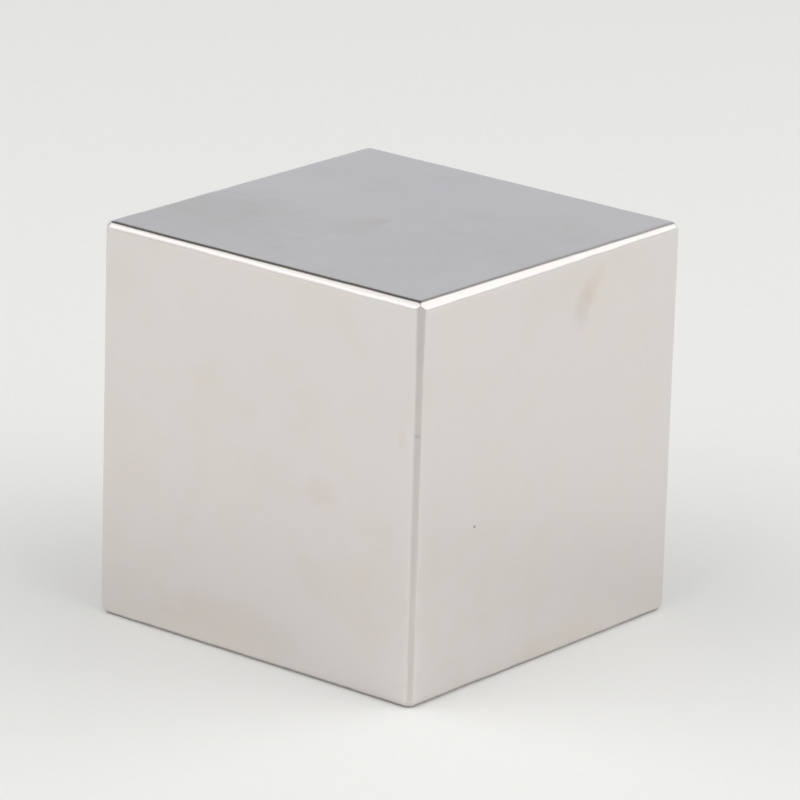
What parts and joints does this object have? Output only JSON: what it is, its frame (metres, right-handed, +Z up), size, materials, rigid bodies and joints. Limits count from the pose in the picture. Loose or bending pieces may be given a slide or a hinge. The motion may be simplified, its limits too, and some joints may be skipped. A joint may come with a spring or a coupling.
{
  "type": "block magnet",
  "caption": "Nickel-plated cube magnet with flat ground faces and a fine chamfer along every edge.",
  "frame": {"origin": "middle of the bottom face, which the block rests on", "axes": "+Z up, square to the top face; +X and -Y out of the two side faces that the picture shows"},
  "size_m": [0.05, 0.05, 0.05],
  "materials": {
    "nickel_plate": "polished"
  },
  "bodies": {
    "root": {"block_magnet": "nickel_plate"}
  },
  "joints": []
}
